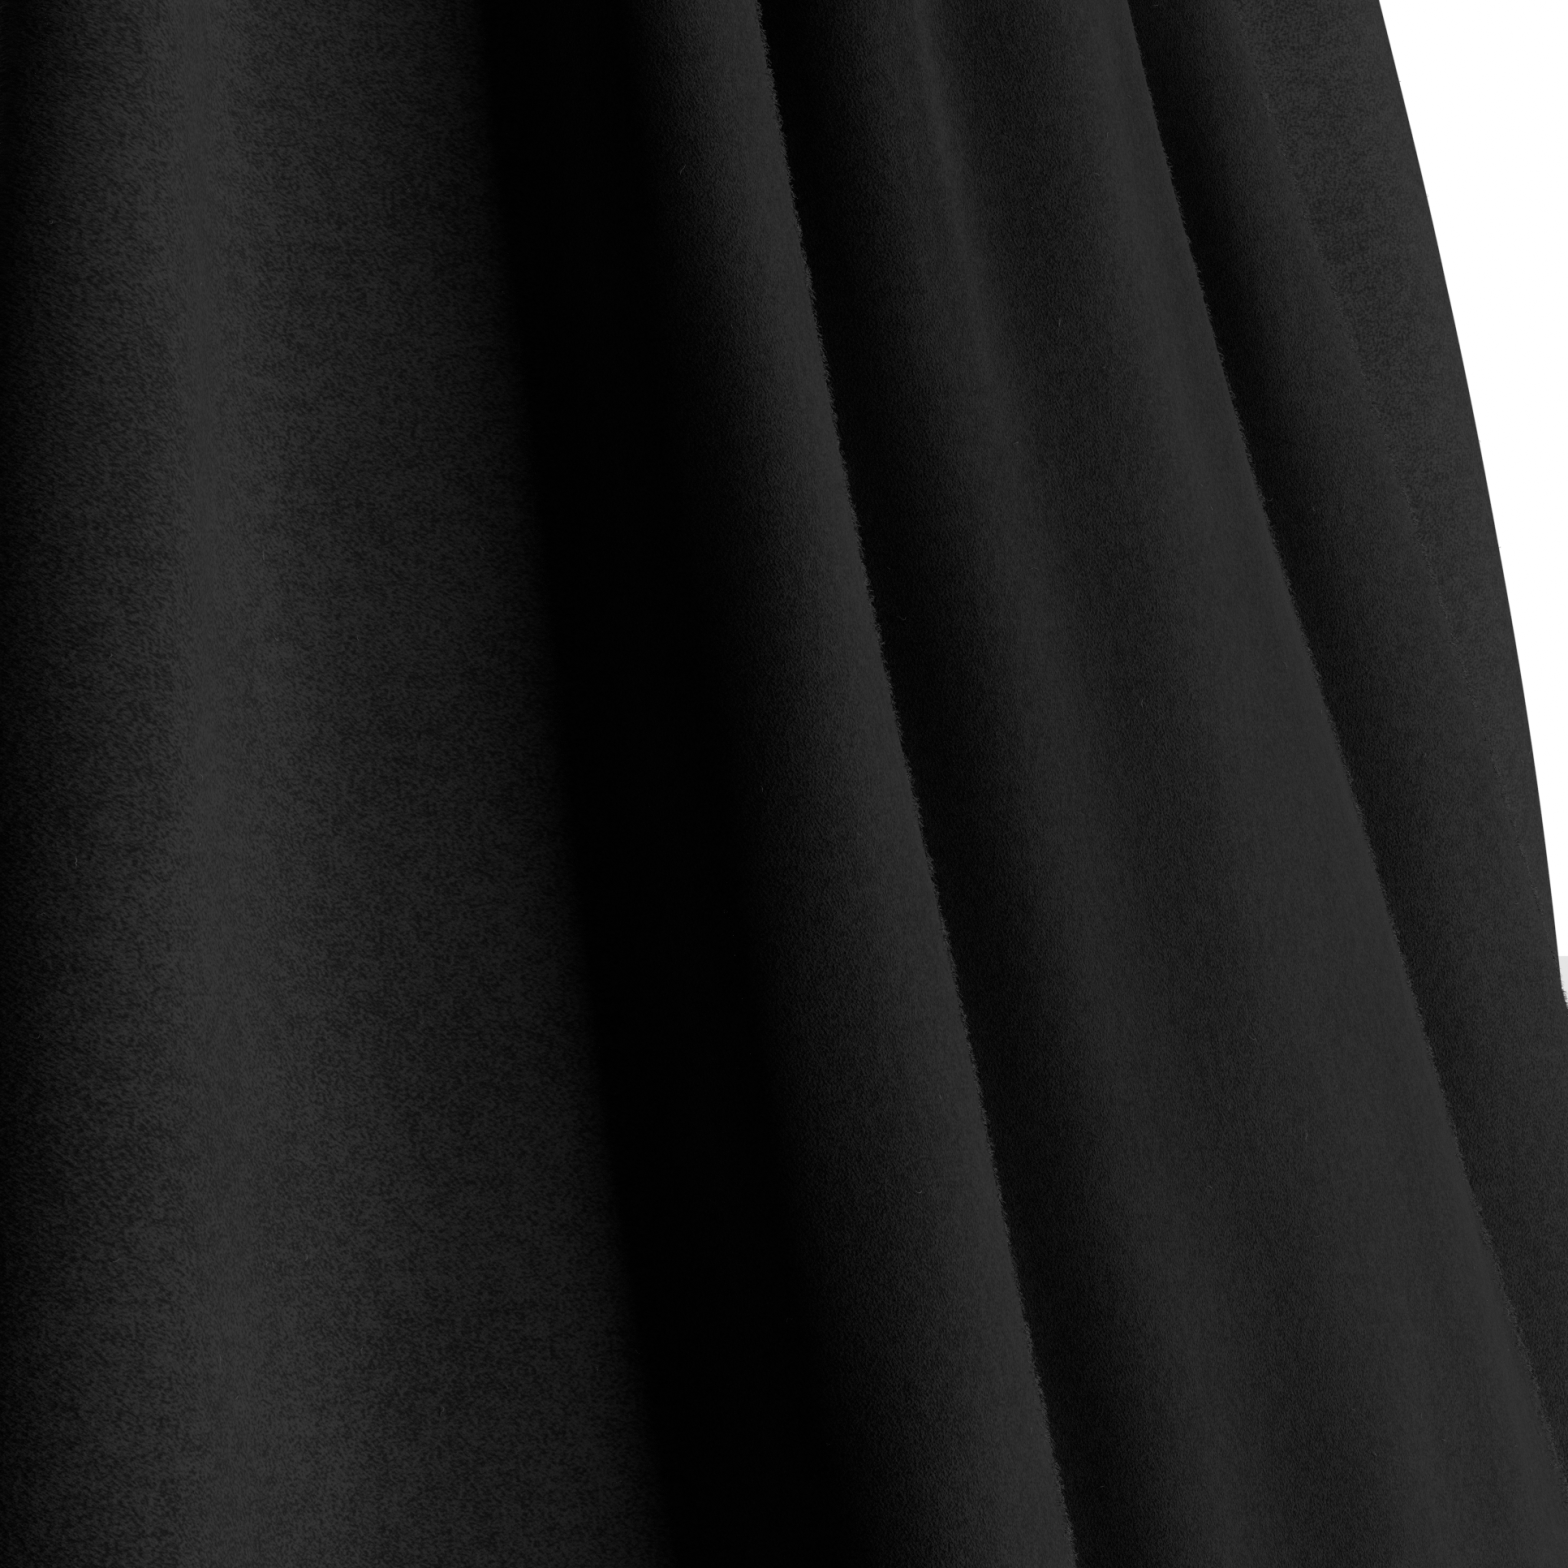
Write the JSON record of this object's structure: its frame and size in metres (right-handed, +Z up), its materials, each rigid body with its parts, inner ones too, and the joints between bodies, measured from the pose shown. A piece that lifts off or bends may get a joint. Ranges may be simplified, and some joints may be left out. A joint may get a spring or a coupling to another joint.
{
  "type": "a-line midi skirt",
  "caption": "A-line midi skirt in heavy brushed wool, worn: hollow, flaring from a straight waistband into deep soft folds, with a concealed zip at the centre back.",
  "frame": {"origin": "middle of the waist, halfway up the waistband, where the wearer's waist holds the skirt", "axes": "+Z up along the wearer, the front faces -Y, +X is the wearer's left"},
  "size_m": [0.6548, 0.6298, 0.7812],
  "materials": {
    "brushed_wool": "matt black wool with a short raised nap and stray fibres",
    "zip_nylon": "woven black tape with a nylon coil",
    "zip_enamel": "black enamelled zinc"
  },
  "bodies": {
    "skirt": {"skirt_front": "brushed_wool", "skirt_back_left": "brushed_wool", "skirt_back_right": "brushed_wool", "waistband": "brushed_wool", "zip_tape_left": "zip_nylon", "zip_tape_right": "zip_nylon", "zip_slider": "zip_enamel"},
    "pull": {"zip_pull": "zip_enamel"}
  },
  "joints": [
    {"name": "pull_hinge", "type": "hinge", "parent": "skirt", "child": "pull", "pos_m": [0, 0.1082, 0.01], "axis": [1, 0, 0], "range_deg": [0, 150]}
  ]
}
